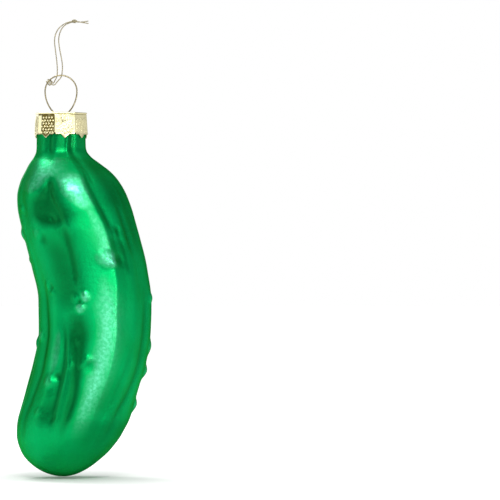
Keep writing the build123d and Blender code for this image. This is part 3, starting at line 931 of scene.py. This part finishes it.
    def lip(self, look):
        """Rings of the lip, up its outside, over its melted edge and down its bore."""
        lip_end, step = self.lip_end(look), self.LIP_STEP
        radius, wall = look.lip_radius / MM, look.wall / MM
        edge = wall / 2
        outline = [(radius + step, lip_end + step), (radius, lip_end + 2 * step),
                   (radius, RIM_Z - edge)]
        for i in range(1, self.LIP_FACETS):
            around = math.pi * i / self.LIP_FACETS
            outline.append((radius - edge + edge * math.cos(around),
                            RIM_Z - edge + edge * math.sin(around)))
        outline += [(radius - wall, RIM_Z - edge), (radius - wall, lip_end + step)]
        turn = np.radians(self.angles())
        return [level_ring(r * np.sin(turn), -r * np.cos(turn), z) for r, z in outline]

    def inside(self, look):
        """Rings of the hollow, from the bore down to the tip, a wall inside the outside."""
        lip_end, wall = self.lip_end(look), look.wall / MM
        body_length = lip_end - TIP_Z
        last = 1 - wall / body_length
        downs = last * (1 - (1 - np.linspace(0, 1, self.ROWS_INSIDE)) ** self.INSIDE_CROWDING)
        shift, across, deep, strength = self.base(look, downs)
        lift = self.lift(look, downs, across, strength, body_length)
        turn = np.radians(self.angles())
        rings = []
        for row, down in enumerate(downs):
            bore = (look.lip_radius / MM if down < self.BORE_TO else across[row]) - wall
            r = np.maximum(bore + np.minimum(lift[row], 0), self.LEAST_RADIUS)
            rings.append(level_ring(shift[row] + r * np.sin(turn), -r * deep[row] * np.cos(turn),
                                    lip_end - down * body_length))
        return rings


def spokes(x, z, count, offset, half_width, inner, outer):
    """Spokes between two radii; offset moves them on by a share of their spacing."""
    reach, around = np.hypot(x, z), np.arctan2(z, x)
    turn = (around * count / (2 * math.pi) + offset) % 1 - 0.5
    side = reach * np.abs(np.sin(turn * 2 * math.pi / count))
    return hump(side, half_width) * (reach > inner) * (reach < outer)


def stamped_star(x, z):
    """A stamped star: rays from a boss, with short dashes between their ends."""
    rays = spokes(x, z, 12, offset=0.0, half_width=0.17, inner=0.55, outer=2.0)
    dashes = spokes(x, z, 12, offset=0.5, half_width=0.20, inner=1.6, outer=2.55)
    return np.maximum(np.maximum(rays, dashes), hump(np.hypot(x, z), 0.42))


def stamped_leaf(x, z):
    """A stamped leaf: three nested outlines and a middle vein."""
    half_wide, half_high, mean_half, vein_half = 1.25, 2.2, 1.6, 1.6
    size = np.sqrt((x / half_wide) ** 2 + (z / half_high) ** 2)
    outlines = [hump((size - nested) * mean_half, 0.2) for nested in (1.25, 0.85, 0.45)]
    return np.maximum.reduce(outlines + [hump(x, 0.13) * (np.abs(z) < vein_half)])


def stamped_reeds(x, z):
    """Stamped reeds: upright ribs of unlike lengths."""
    pitch, half_high, uneven, swing = 0.75, 2.1, 0.5, 2.2
    ribs = np.clip(np.cos(x * 2 * math.pi / pitch), 0, 1)
    return ribs * (np.abs(z) < half_high - uneven * np.abs(np.sin(x * swing)))


def stamped_ground(x, z):
    """The ground under the beads: a low pillow of its own between them, plain at one side."""
    pillow_height, across, upright = 0.25, 3.3, 2.9
    plain_to, plain_level = -1.55, 0.7
    pillow = pillow_height * np.clip(np.cos(x * across) * np.cos(z * upright), 0, 1)
    return np.where(x < plain_to, plain_level, pillow)


# Each motif's shape, and how raised its ground counts for the metal's colour, which sets how little
# painted shade the ground gets
MOTIFS = {
    "star": (stamped_star, 0.34),
    "reeds": (stamped_reeds, 0.50),
    "leaf": (stamped_leaf, 0.60),
    "beads": (stamped_ground, 0.0),
}


class ORNAMENT_OT_crown(bpy.types.Operator):
    """Build the stamped crown with its beads, points, rim bead and pierced plate"""
    bl_idname = "ornament.crown"
    bl_label = "Crown Cap"

    # The panels, how far the first one's middle is turned from the front, and their motifs
    PANELS = 8
    TURN = 12.0
    PANEL_MOTIFS = tuple(MOTIFS) * 2
    # Columns of a panel and rows of the wall
    COLUMNS = 48
    ACROSS = np.linspace(-1, 1, COLUMNS, endpoint=False)
    ROWS_WALL = 54
    ROWS_INSIDE = 10
    # In millimetres: a motif's middle over the edge, how it fades at the sides, at the edge and
    # under the rim, the border's height along the edge and how it fades at the sides, and how far
    # under the crown's top the inside ends
    MOTIF_UP = 2.45
    FRAME_SIDE, FRAME_LOW, FRAME_TOP = 0.35, 0.5, 0.4
    BORDER, BORDER_SIDE = 0.28, 0.3
    INSIDE_TOP = 0.75
    # How raised the border is, how raised the rim bead and its inner side count and how far out,
    # in millimetres, the first begins, and how raised the plate and the beads count
    BORDER_LEVEL = 0.6
    # The colour takes low levels as painted shade: the nick under the rim bead and its inner side are
    # painted dark, the sunk plate half so
    RIM_LEVEL, RIM_INNER_LEVEL, RIM_OUTER_FROM = 0.8, 0.1, -0.06
    PLATE_LEVEL, BEAD_LEVEL = 0.5, 0.9
    # The plate's sides lie this share of the sheet inside the panels; a hole is this much wider
    # than the wire all round, in millimetres, and has this many sides
    PLATE_INSET = 0.6
    HOLE_GAP = 0.35
    HOLE_SIDES = 24
    # In millimetres: the rows of beads start this far over the edge and end this far under the
    # top, and the beads keep clear of the panel's sides and of the plain stretch at its left; a
    # last bead may be over by a little
    BEADS_LOW, BEADS_TOP, BEADS_SIDE, BEADS_LEFT = 0.45, 1.0, 0.55, 0.9
    NEARLY = 0.01
    # How much further than the relief a bead stands out
    BEAD_RISE = 1.3

    def execute(self, context):
        """Builds the wall, the plate and the beads."""
        look = context.scene.ornament_crown
        gold = pale_gold(look)
        wall = self.wall(look, gold)
        plate = self.plate(look, context.scene.ornament_wire, gold)
        beads = self.beads(look, gold)
        for piece in (wall, plate, beads):
            finish_piece(piece, "cap")
        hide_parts("crown_cap")
        return {"FINISHED"}

    def edge_z(self, look):
        """The level of the edge's flat stretches in millimetres."""
        return CROWN_Z - look.height / MM

    def half_edge(self, look):
        """Half a panel's width along the edge, in millimetres."""
        return look.edge_diameter / MM / 2 * math.sin(math.pi / self.PANELS)

    def panel_turn(self, panel):
        """How far a panel's middle is turned from the front."""
        return math.radians(self.TURN + panel * 360 / self.PANELS)

    def flat_radius(self, look, z):
        """The distance of a flat panel from the axis at a level."""
        up = (z - self.edge_z(look)) / (look.height / MM)
        corner = look.edge_diameter / MM / 2 - up * look.draw / MM
        return corner * math.cos(math.pi / self.PANELS)

    def lower_edge(self, look, x):
        """The edge's level across a panel: a point in its middle and a nick at each corner."""
        from_corner = self.half_edge(look) - np.abs(x)
        tooth = (1 - rising(np.abs(x), look.tooth_width / MM / 2)) * look.tooth_height / MM
        notch = (1 - rising(from_corner, look.notch_width / MM / 2)) * look.notch_height / MM
        return self.edge_z(look) + (notch - tooth)

    def outer_row(self, look, panel, up):
        """A row of a panel's stamped outside: its levels, distances from the axis and relief."""
        x = self.ACROSS * self.half_edge(look)
        low, top = self.lower_edge(look, x), CROWN_Z + RIM_BEAD[0][1]
        z = low + up * (top - low)
        from_corner = self.half_edge(look) - np.abs(x)
        shape, ground = MOTIFS[self.PANEL_MOTIFS[panel]]
        frame = rising(from_corner, self.FRAME_SIDE) * (
            rising(z - low, self.FRAME_LOW) * rising(top - z, self.FRAME_TOP))
        motif = shape(x, z - (self.edge_z(look) + self.MOTIF_UP)) * frame
        border = (1 - rising(z - low, self.BORDER)) * self.BORDER_LEVEL
        raised = np.maximum(motif, border * rising(from_corner, self.BORDER_SIDE))
        flat = self.flat_radius(look, z) + raised * (look.relief / MM)
        return z, flat, np.maximum(raised, ground)

    def rim_row(self, look, panel, place):
        """A row of the rim bead."""
        out, up = place
        z = np.full_like(self.ACROSS, CROWN_Z + up)
        level = self.RIM_LEVEL if out > self.RIM_OUTER_FROM else self.RIM_INNER_LEVEL
        return z, self.flat_radius(look, z) + out, np.full_like(z, level)

    def inner_row(self, look, panel, up):
        """A row of a panel's plain inside."""
        low = self.lower_edge(look, self.ACROSS * self.half_edge(look))
        z = low + up * (CROWN_Z - self.INSIDE_TOP - low)
        # The inside counts as not raised, so it gets the full painted shade
        return z, self.flat_radius(look, z) - look.sheet / MM, np.zeros_like(z)

    def on_panel(self, panel, z, flat):
        """Points across a panel from its levels and distances from the axis."""
        turn = self.panel_turn(panel)
        normal = np.array([math.sin(turn), -math.cos(turn), 0])
        side = np.array([math.cos(turn), math.sin(turn), 0])
        corner = flat / math.cos(math.pi / self.PANELS)
        x = self.ACROSS * corner * math.sin(math.pi / self.PANELS)
        upright = np.stack([np.zeros_like(z), np.zeros_like(z), z], 1)
        return normal * flat[:, None] + side * x[:, None] + upright

    def wall(self, look, material):
        """The eight panels, with their relief, the rim bead and the inner side."""
        rows = [(self.outer_row, up) for up in np.linspace(0, 1, self.ROWS_WALL)]
        rows += [(self.rim_row, place) for place in RIM_BEAD[1:]]
        rows += [(self.inner_row, up) for up in np.linspace(1, 0, self.ROWS_INSIDE)]
        points, levels = [], []
        for make_row, place in rows:
            for panel in range(self.PANELS):
                z, flat, raised = make_row(look, panel, place)
                points.append(self.on_panel(panel, z, flat))
                levels.append(raised)
        faces = grid_faces(len(rows), self.PANELS * self.COLUMNS, closed=True)
        piece = new_piece("crown_wall", np.concatenate(points) * MM, faces, (material,))
        store_levels(piece.data, "relief", np.concatenate(levels).astype(np.float32))
        outward(piece)
        return piece

    def plate_side(self, work, look, wire, z):
        """One side of the plate, filled between its outline and its holes; returns their loops."""
        corner = self.flat_radius(look, z) - look.sheet / MM * self.PLATE_INSET
        corner /= math.cos(math.pi / self.PANELS)
        turns = [self.panel_turn(panel + 0.5) for panel in range(self.PANELS)]
        loops = [[(corner * math.sin(turn), -corner * math.cos(turn)) for turn in turns]]
        radius = wire.wire / MM / 2 + self.HOLE_GAP
        turns = [i * math.tau / self.HOLE_SIDES for i in range(self.HOLE_SIDES)]
        for side in (-1, 1):
            middle = side * wire.leg_gap / MM / 2
            loops.append([(middle + radius * math.cos(turn), radius * math.sin(turn))
                          for turn in turns])
        loops = [[work.verts.new((x * MM, y * MM, z * MM)) for x, y in loop] for loop in loops]
        edges = [work.edges.new(pair) for loop in loops for pair in pairs(loop)]
        bmesh.ops.triangle_fill(work, edges=edges, use_beauty=True, normal=(0, 0, 1))
        return loops

    def plate(self, look, wire, material):
        """The sunk top plate with its two holes for the wire's legs."""
        work = bmesh.new()
        upper_z = CROWN_Z - look.plate_sink / MM
        upper = self.plate_side(work, look, wire, upper_z)
        lower = self.plate_side(work, look, wire, upper_z - look.sheet / MM)
        for high, low in zip(upper, lower):
            for (a, b), (c, d) in zip(pairs(high), pairs(low)):
                work.faces.new((a, b, d, c))
        bmesh.ops.recalc_face_normals(work, faces=work.faces)
        mesh = bpy.data.meshes.new("crown_plate")
        work.to_mesh(mesh)
        work.free()
        mesh.materials.append(material)
        store_levels(mesh, "relief", [self.PLATE_LEVEL] * len(mesh.vertices))
        return put("crown_plate", mesh)

    def bead_points(self, look):
        """Where the beads stand, every other row half a pitch on, and how their panel is turned."""
        pitch = look.bead_pitch / MM
        half = self.half_edge(look) - self.BEADS_SIDE
        points = []
        for panel, motif in enumerate(self.PANEL_MOTIFS):
            if motif != "beads":
                continue
            turn = self.panel_turn(panel)
            row, z = 0, self.edge_z(look) + self.BEADS_LOW
            while z < CROWN_Z - self.BEADS_TOP:
                flat = self.flat_radius(look, z)
                x = -half + self.BEADS_LEFT + (pitch / 2 if row % 2 else 0)
                while x <= half + self.NEARLY:
                    points.append((Vector((flat * math.sin(turn) + x * math.cos(turn),
                                           -flat * math.cos(turn) + x * math.sin(turn), z)) * MM,
                                   turn))
                    x += pitch
                z += pitch * math.sin(math.pi / 3)
                row += 1
        return points

    def bead_tree(self, material):
        """Geometry nodes that put a flattened ball on each point, and their inputs for its size."""
        group = bpy.data.node_groups.new("stamped_beads", "GeometryNodeTree")
        new_socket = group.interface.new_socket
        new_socket("Geometry", in_out="INPUT", socket_type="NodeSocketGeometry")
        radius = new_socket("Bead Radius", in_out="INPUT", socket_type="NodeSocketFloat")
        height = new_socket("Bead Height", in_out="INPUT", socket_type="NodeSocketFloat")
        new_socket("Geometry", in_out="OUTPUT", socket_type="NodeSocketGeometry")
        tree = Tree(group)
        given = tree.add("NodeGroupInput").outputs
        ball = tree.add("GeometryNodeMeshUVSphere", {"Segments": 12, "Rings": 8,
                                                     "Radius": given["Bead Radius"]})
        flat = tree.reckon("DIVIDE", given["Bead Height"], given["Bead Radius"])
        scale = tree.add("ShaderNodeCombineXYZ", {"X": 1.0, "Y": 1.0, "Z": flat})
        facing = tree.add("GeometryNodeInputNamedAttribute", {"Name": "facing"},
                          data_type="FLOAT_VECTOR")
        placed = tree.add("GeometryNodeInstanceOnPoints", {
            "Points": given["Geometry"], "Instance": ball.outputs["Mesh"],
            "Rotation": facing.outputs["Attribute"], "Scale": scale.outputs["Vector"]})
        real = tree.add("GeometryNodeRealizeInstances", {"Geometry": placed.outputs["Instances"]})
        smooth = tree.add("GeometryNodeSetShadeSmooth", {"Geometry": real.outputs["Geometry"]})
        paint = tree.add("GeometryNodeSetMaterial", {"Geometry": smooth.outputs["Geometry"],
                                                     "Material": material})
        tree.add("NodeGroupOutput", {"Geometry": paint.outputs["Geometry"]})
        return group, radius, height

    def beads(self, look, material):
        """The stamped beads, one small dome for each point, made by geometry nodes."""
        points = self.bead_points(look)
        piece = new_piece("crown_beads", [place for place, turn in points], [])
        facing = piece.data.attributes.new("facing", "FLOAT_VECTOR", "POINT")
        facing.data.foreach_set("vector", [part for place, turn in points
                                           for part in (math.pi / 2, 0.0, turn)])
        group, radius, height = self.bead_tree(material)
        modifier = piece.modifiers.new("beads", "NODES")
        modifier.node_group = group
        modifier[radius.identifier] = look.bead_radius
        modifier[height.identifier] = look.relief * self.BEAD_RISE
        made = plain_mesh(piece)
        piece.modifiers.remove(modifier)
        piece.data = made
        made.name = "crown_beads"
        if "facing" in made.attributes:
            made.attributes.remove(made.attributes["facing"])
        store_levels(made, "relief", [self.BEAD_LEVEL] * len(made.vertices))
        return piece


def tube(name, path, radius, sides, material, lobes=0, lobe_depth=0.0, pitch=None):
    """A closed tube along points in metres; with lobes its section is lobed and twists."""
    path = [Vector(point) for point in path]
    last = len(path) - 1
    tangents = [(path[min(i + 1, last)] - path[max(i - 1, 0)]).normalized()
                for i in range(len(path))]
    across = tangents[0].orthogonal().normalized()
    vertices, travelled = [], 0.0
    for i, (point, tangent) in enumerate(zip(path, tangents)):
        if i:
            travelled += (point - path[i - 1]).length
            across = tangents[i - 1].rotation_difference(tangent) @ across
            across = (across - across.dot(tangent) * tangent).normalized()
        up = tangent.cross(across)
        twist = math.tau * travelled / pitch if pitch else 0.0
        for s in range(sides):
            turn = math.tau * s / sides
            dent = lobe_depth * (0.5 - 0.5 * math.cos(lobes * turn))
            size = radius * (1 - dent) if lobes else radius
            vertices.append(point + (across * math.cos(turn + twist)
                                     + up * math.sin(turn + twist)) * size)
    faces = grid_faces(len(path), sides)
    start = path[0] - tangents[0] * radius * END_DOME
    end = path[-1] + tangents[-1] * radius * END_DOME
    close_end(vertices, faces, 0, sides, start, False)
    close_end(vertices, faces, last * sides, sides, end, True)
    piece = new_piece(name, vertices, faces, (material,))
    outward(piece)
    return piece


class ORNAMENT_OT_wire(bpy.types.Operator):
    """Build the round spring wire: eye, waist, legs and splayed feet"""
    bl_idname = "ornament.wire"
    bl_label = "Wire Hanger"

    # The steps along the wire and the air between a foot and the bore, in millimetres
    STEP = 0.12
    FOOT_GAP = 0.06
    SIDES = 16

    def execute(self, context):
        """Sweeps the wire along its arcs."""
        look = context.scene.ornament_wire
        half = self.half_path(look, context.scene.ornament_glass)
        path = [(-x, z) for x, z in reversed(half)] + half[1:]
        points = [Vector((x, 0, z)) * MM for x, z in path]
        piece = tube("wire_hanger_round", points, look.wire / 2, self.SIDES, gilt_wire(look))
        finish_piece(piece, "hanger", "wire_hanger")
        return {"FINISHED"}

    def half_path(self, look, glass):
        """Points of the right half of the wire's middle line, in millimetres, from the top."""
        eye, side, waist = look.eye_radius / MM, look.side_radius / MM, look.waist_radius / MM
        splay_r, foot_r = look.splay_radius / MM, look.foot_radius / MM
        half_gap = look.leg_gap / MM / 2
        waist_angle = math.acos((side - eye + half_gap + waist) / (side + waist))
        reach = (glass.lip_radius - glass.wall - look.wire / 2) / MM - self.FOOT_GAP - half_gap
        turned = (splay_r + foot_r) * (1 - math.cos(look.splay_angle))
        slant = (reach - turned) / math.sin(look.splay_angle)
        moves = (("arc", eye, -math.pi / 2), ("arc", side, -waist_angle),
                 ("arc", waist, waist_angle), ("run", look.leg_straight / MM, 0),
                 ("arc", splay_r, look.splay_angle), ("run", slant, 0),
                 ("arc", foot_r, -look.foot_angle), ("run", look.foot_length / MM, 0))
        x, z, heading = 0.0, look.wire / MM / 2, 0.0
        points = [(x, z)]
        for kind, size, bend in moves:
            travel = size if kind == "run" else size * abs(bend)
            steps = max(2, math.ceil(travel / self.STEP))
            for _ in range(steps):
                heading += bend / steps / 2
                x += travel / steps * math.cos(heading)
                z += travel / steps * math.sin(heading)
                heading += bend / steps / 2
                points.append((x, z))
        return points


class ORNAMENT_OT_thread(bpy.types.Operator):
    """Build the twisted thread, hitched round the eye, and the knot near its ends"""
    bl_idname = "ornament.thread"
    bl_label = "Hanging Thread"

    # The thread's length in metres
    LENGTH = 0.0585
    STEPS_PER_POINT = 22
    SIDES = 12
    # How deep the grooves between the plies are, as a share of the thread's radius
    PLY_DEPTH = 0.30
    # The knot's turns, its half length in millimetres, and how far its turns lie from its middle,
    # in thicknesses: where they are tucked in, and how much further in its middle
    KNOT_TURNS = 3.4
    KNOT_STEPS = 90
    KNOT_HALF = 0.62
    KNOT_TUCKED, KNOT_SWELL = 0.35, 0.85

    def execute(self, context):
        """Reads the smooth line through the route and twists the plies along it."""
        look = context.scene.ornament_thread
        yarn = metallic_yarn(look)
        turns, hitch = self.hitch_turns(look, context.scene.ornament_wire)
        line = self.smooth_line([*reversed(NEAR_STRAND), *turns, *FAR_STRAND])
        thread = self.twisted("hanging_thread", line, look, yarn)
        knot = self.twisted("thread_knot", self.knot_line(look), look, yarn)
        finish_piece(thread, "cord", "hanging_cord")
        finish_piece(knot, "cord", "cord_knot")
        return {"FINISHED"}

    def twisted(self, name, line, look, yarn):
        """A piece of the twisted thread along a line."""
        return tube(name, line, look.thickness / 2, self.SIDES, yarn,
                    lobes=look.plies, lobe_depth=self.PLY_DEPTH, pitch=look.twist_pitch)

    def hitch_turns(self, look, wire):
        """The hitch's turns round the eye, in millimetres, and its place on the wire, in metres."""
        radius, turn = wire.eye_radius / MM, look.hitch_angle
        inward = Vector((-math.cos(turn), 0, -math.sin(turn)))
        along = Vector((math.sin(turn), 0, -math.cos(turn)))
        hitch = Vector((0, 0, wire.wire / MM / 2 - radius)) - inward * radius
        thick, gap = look.thickness / MM, look.gap / MM
        round_wire = wire.wire / MM / 2 + gap + thick / 2
        pair = (thick + gap) / 2
        bight = pair + thick + gap
        half = ((-round_wire, round_wire, pair), (-round_wire, -round_wire, (pair + bight) / 2),
                (round_wire, -round_wire, bight),
                (look.hitch_reach / MM, round_wire + thick + gap, bight))
        turns = [hitch + inward * a + Vector((0, -b, 0)) + along * c for a, b, c in half]
        turns += [hitch + inward * a + Vector((0, -b, 0)) - along * c for a, b, c in reversed(half)]
        return turns, hitch * MM

    def smooth_line(self, route):
        """Points in metres of a smooth line that follows a route given in millimetres."""
        curve = bpy.data.curves.new("thread_line", "CURVE")
        curve.dimensions = "3D"
        curve.resolution_u = self.STEPS_PER_POINT
        spline = curve.splines.new("NURBS")
        spline.points.add(len(route) - 1)
        for point, place in zip(spline.points, route):
            point.co = (*(Vector(place) * MM), 1.0)
        spline.order_u = 3
        spline.use_endpoint_u = True
        holder = put("thread_line", curve)
        bpy.context.view_layer.update()
        mesh = plain_mesh(holder)
        points = [v.co.copy() for v in mesh.vertices]
        bpy.data.objects.remove(holder)
        bpy.data.curves.remove(curve)
        bpy.data.meshes.remove(mesh)
        return points

    def knot_line(self, look):
        """The knot's own turns, wrapped round the two strands and tucked in at both ends."""
        thick = look.thickness / MM
        points = []
        for i in range(self.KNOT_STEPS + 1):
            s = i / self.KNOT_STEPS
            around = math.tau * self.KNOT_TURNS * s
            swell = math.sin(math.pi * s) ** 0.5
            reach = thick * (self.KNOT_TUCKED + self.KNOT_SWELL * swell)
            x = KNOT_AT[0] + self.KNOT_HALF * (2 * s - 1)
            points.append(Vector((x, KNOT_AT[1] + reach * math.cos(around),
                                  KNOT_AT[2] + reach * math.sin(around))) * MM)
        return points


class ORNAMENT_OT_stage(bpy.types.Operator):
    """Set the camera, the lamps, the pale floor and the white surroundings"""
    bl_idname = "ornament.stage"
    bl_label = "Studio Stage"

    # The camera's sensor in millimetres, and how far it sees and half the floor, in metres
    SENSOR = 36.0
    SEES_TO = 10.0
    HALF_FLOOR = 3.0
    # In millimetres: where the lamps point, and where across the shadow lies
    AIM = (6, 0, -60)
    SHADOW_X = 2

    def execute(self, context):
        """Makes the stage round the ornament."""
        look = context.scene.ornament_stage
        scene = context.scene
        scene.view_settings.view_transform = "Standard"
        self.camera(scene, look)
        self.floor(look)
        self.world(scene)
        for name, place, size, brightness in LAMPS:
            self.lamp(name, place, size, brightness)
        return {"FINISHED"}

    def camera(self, scene, look):
        """A level camera straight in front, as far away as a product shot."""
        scale = look.millimetres_per_pixel * MM
        centre = Vector(((look.picture / 2 - look.axis_x) * scale, 0,
                         (look.eye_y - look.picture / 2) * scale))
        data = bpy.data.cameras.new("camera")
        data.sensor_width = self.SENSOR
        data.lens = data.sensor_width * look.distance / (look.picture * scale)
        data.clip_end = self.SEES_TO
        camera = put("camera", data)
        camera.location = centre - Vector((0, look.distance, 0))
        camera.rotation_euler = (math.radians(90), 0, 0)
        scene.camera = camera

    def lamp(self, name, place, size, brightness):
        """A soft rectangular lamp that faces the ornament, as bright as given to the eye."""
        data = bpy.data.lights.new(name, "AREA")
        data.shape = "RECTANGLE"
        data.size, data.size_y = size
        data.energy = brightness * math.pi * size[0] * size[1]
        lamp = put(name, data)
        lamp.location = place
        towards = Vector(self.AIM) * MM - Vector(place)
        lamp.rotation_euler = towards.to_track_quat("-Z", "Y").to_euler()

    def floor(self, look):
        """A pale floor just under the tip, which keeps the ornament's shadow."""
        z, half = TIP_Z * MM - look.floor_gap, self.HALF_FLOOR
        corners = [(x * half, y * half, z) for x, y in ((-1, -1), (1, -1), (1, 1), (-1, 1))]
        white = pale_floor((self.SHADOW_X * MM, 0, z))
        floor = new_piece("floor", corners, [(0, 1, 2, 3)], (white,), smooth=False)

    def world(self, scene):
        """White to the camera, soft panels of light and darker gaps between them to gloss."""
        world = bpy.data.worlds.new("studio")
        world.use_nodes = True
        tree = Tree(world.node_tree)
        rays = tree.add("ShaderNodeLightPath").outputs
        place = tree.add("ShaderNodeTexCoord").outputs["Generated"]
        parts = tree.add("ShaderNodeSeparateXYZ", {"Vector": place}).outputs
        around = tree.reckon("ARCTAN2", parts["X"], tree.reckon("MULTIPLY", parts["Y"], -1.0))
        turns = [(math.radians(turn), level) for turn, level in PANELS_AROUND]
        panels = tree.ramp(around, -math.pi, math.pi, turns)
        room = tree.reckon("MULTIPLY", panels, tree.ramp(parts["Z"], -1.0, 1.0, PANELS_UP))
        seen = tree.reckon("MAXIMUM", rays["Is Camera Ray"], rays["Is Transmission Ray"])
        lit = tree.between(rays["Is Glossy Ray"], ROOM_LEVEL, room)
        back = tree.nodes["Background"].inputs
        back["Color"].default_value = (1, 1, 1, 1)
        tree.links.new(tree.between(seen, lit, 1.0), back["Strength"])
        scene.world = world


OPERATORS = (ORNAMENT_OT_stage, ORNAMENT_OT_thread, ORNAMENT_OT_wire, ORNAMENT_OT_crown,
             ORNAMENT_OT_glass)


class ORNAMENT_PT_panel(bpy.types.Panel):
    """Lists the ornament's pieces and their settings"""
    bl_idname = "ORNAMENT_PT_panel"
    bl_label = "Glass Pickle Ornament"
    bl_space_type = "VIEW_3D"
    bl_region_type = "UI"
    bl_category = "Ornament"

    def draw(self, context):
        """Draws a button for each operator and the settings below."""
        for operator in OPERATORS:
            self.layout.operator(operator.bl_idname)
        for name, group in SETTINGS.items():
            box = self.layout.box()
            box.label(text=group.__doc__)
            for field in group.__annotations__:
                box.prop(getattr(context.scene, name), field)


CLASSES = (*SETTINGS.values(), *OPERATORS, ORNAMENT_PT_panel)


def register():
    """Registers the classes and hangs the settings on the scene."""
    for made in CLASSES:
        bpy.utils.register_class(made)
    for name, group in SETTINGS.items():
        setattr(bpy.types.Scene, name, bpy.props.PointerProperty(type=group))


def unregister():
    """Removes the settings and the classes."""
    for name in SETTINGS:
        delattr(bpy.types.Scene, name)
    for made in reversed(CLASSES):
        bpy.utils.unregister_class(made)


def main():
    """Registers the classes and builds every piece."""
    register()
    bpy.ops.ornament.stage()
    bpy.ops.ornament.thread()
    bpy.ops.ornament.wire()
    bpy.ops.ornament.crown()
    bpy.ops.ornament.glass()


if __name__ == "__main__":
    main()
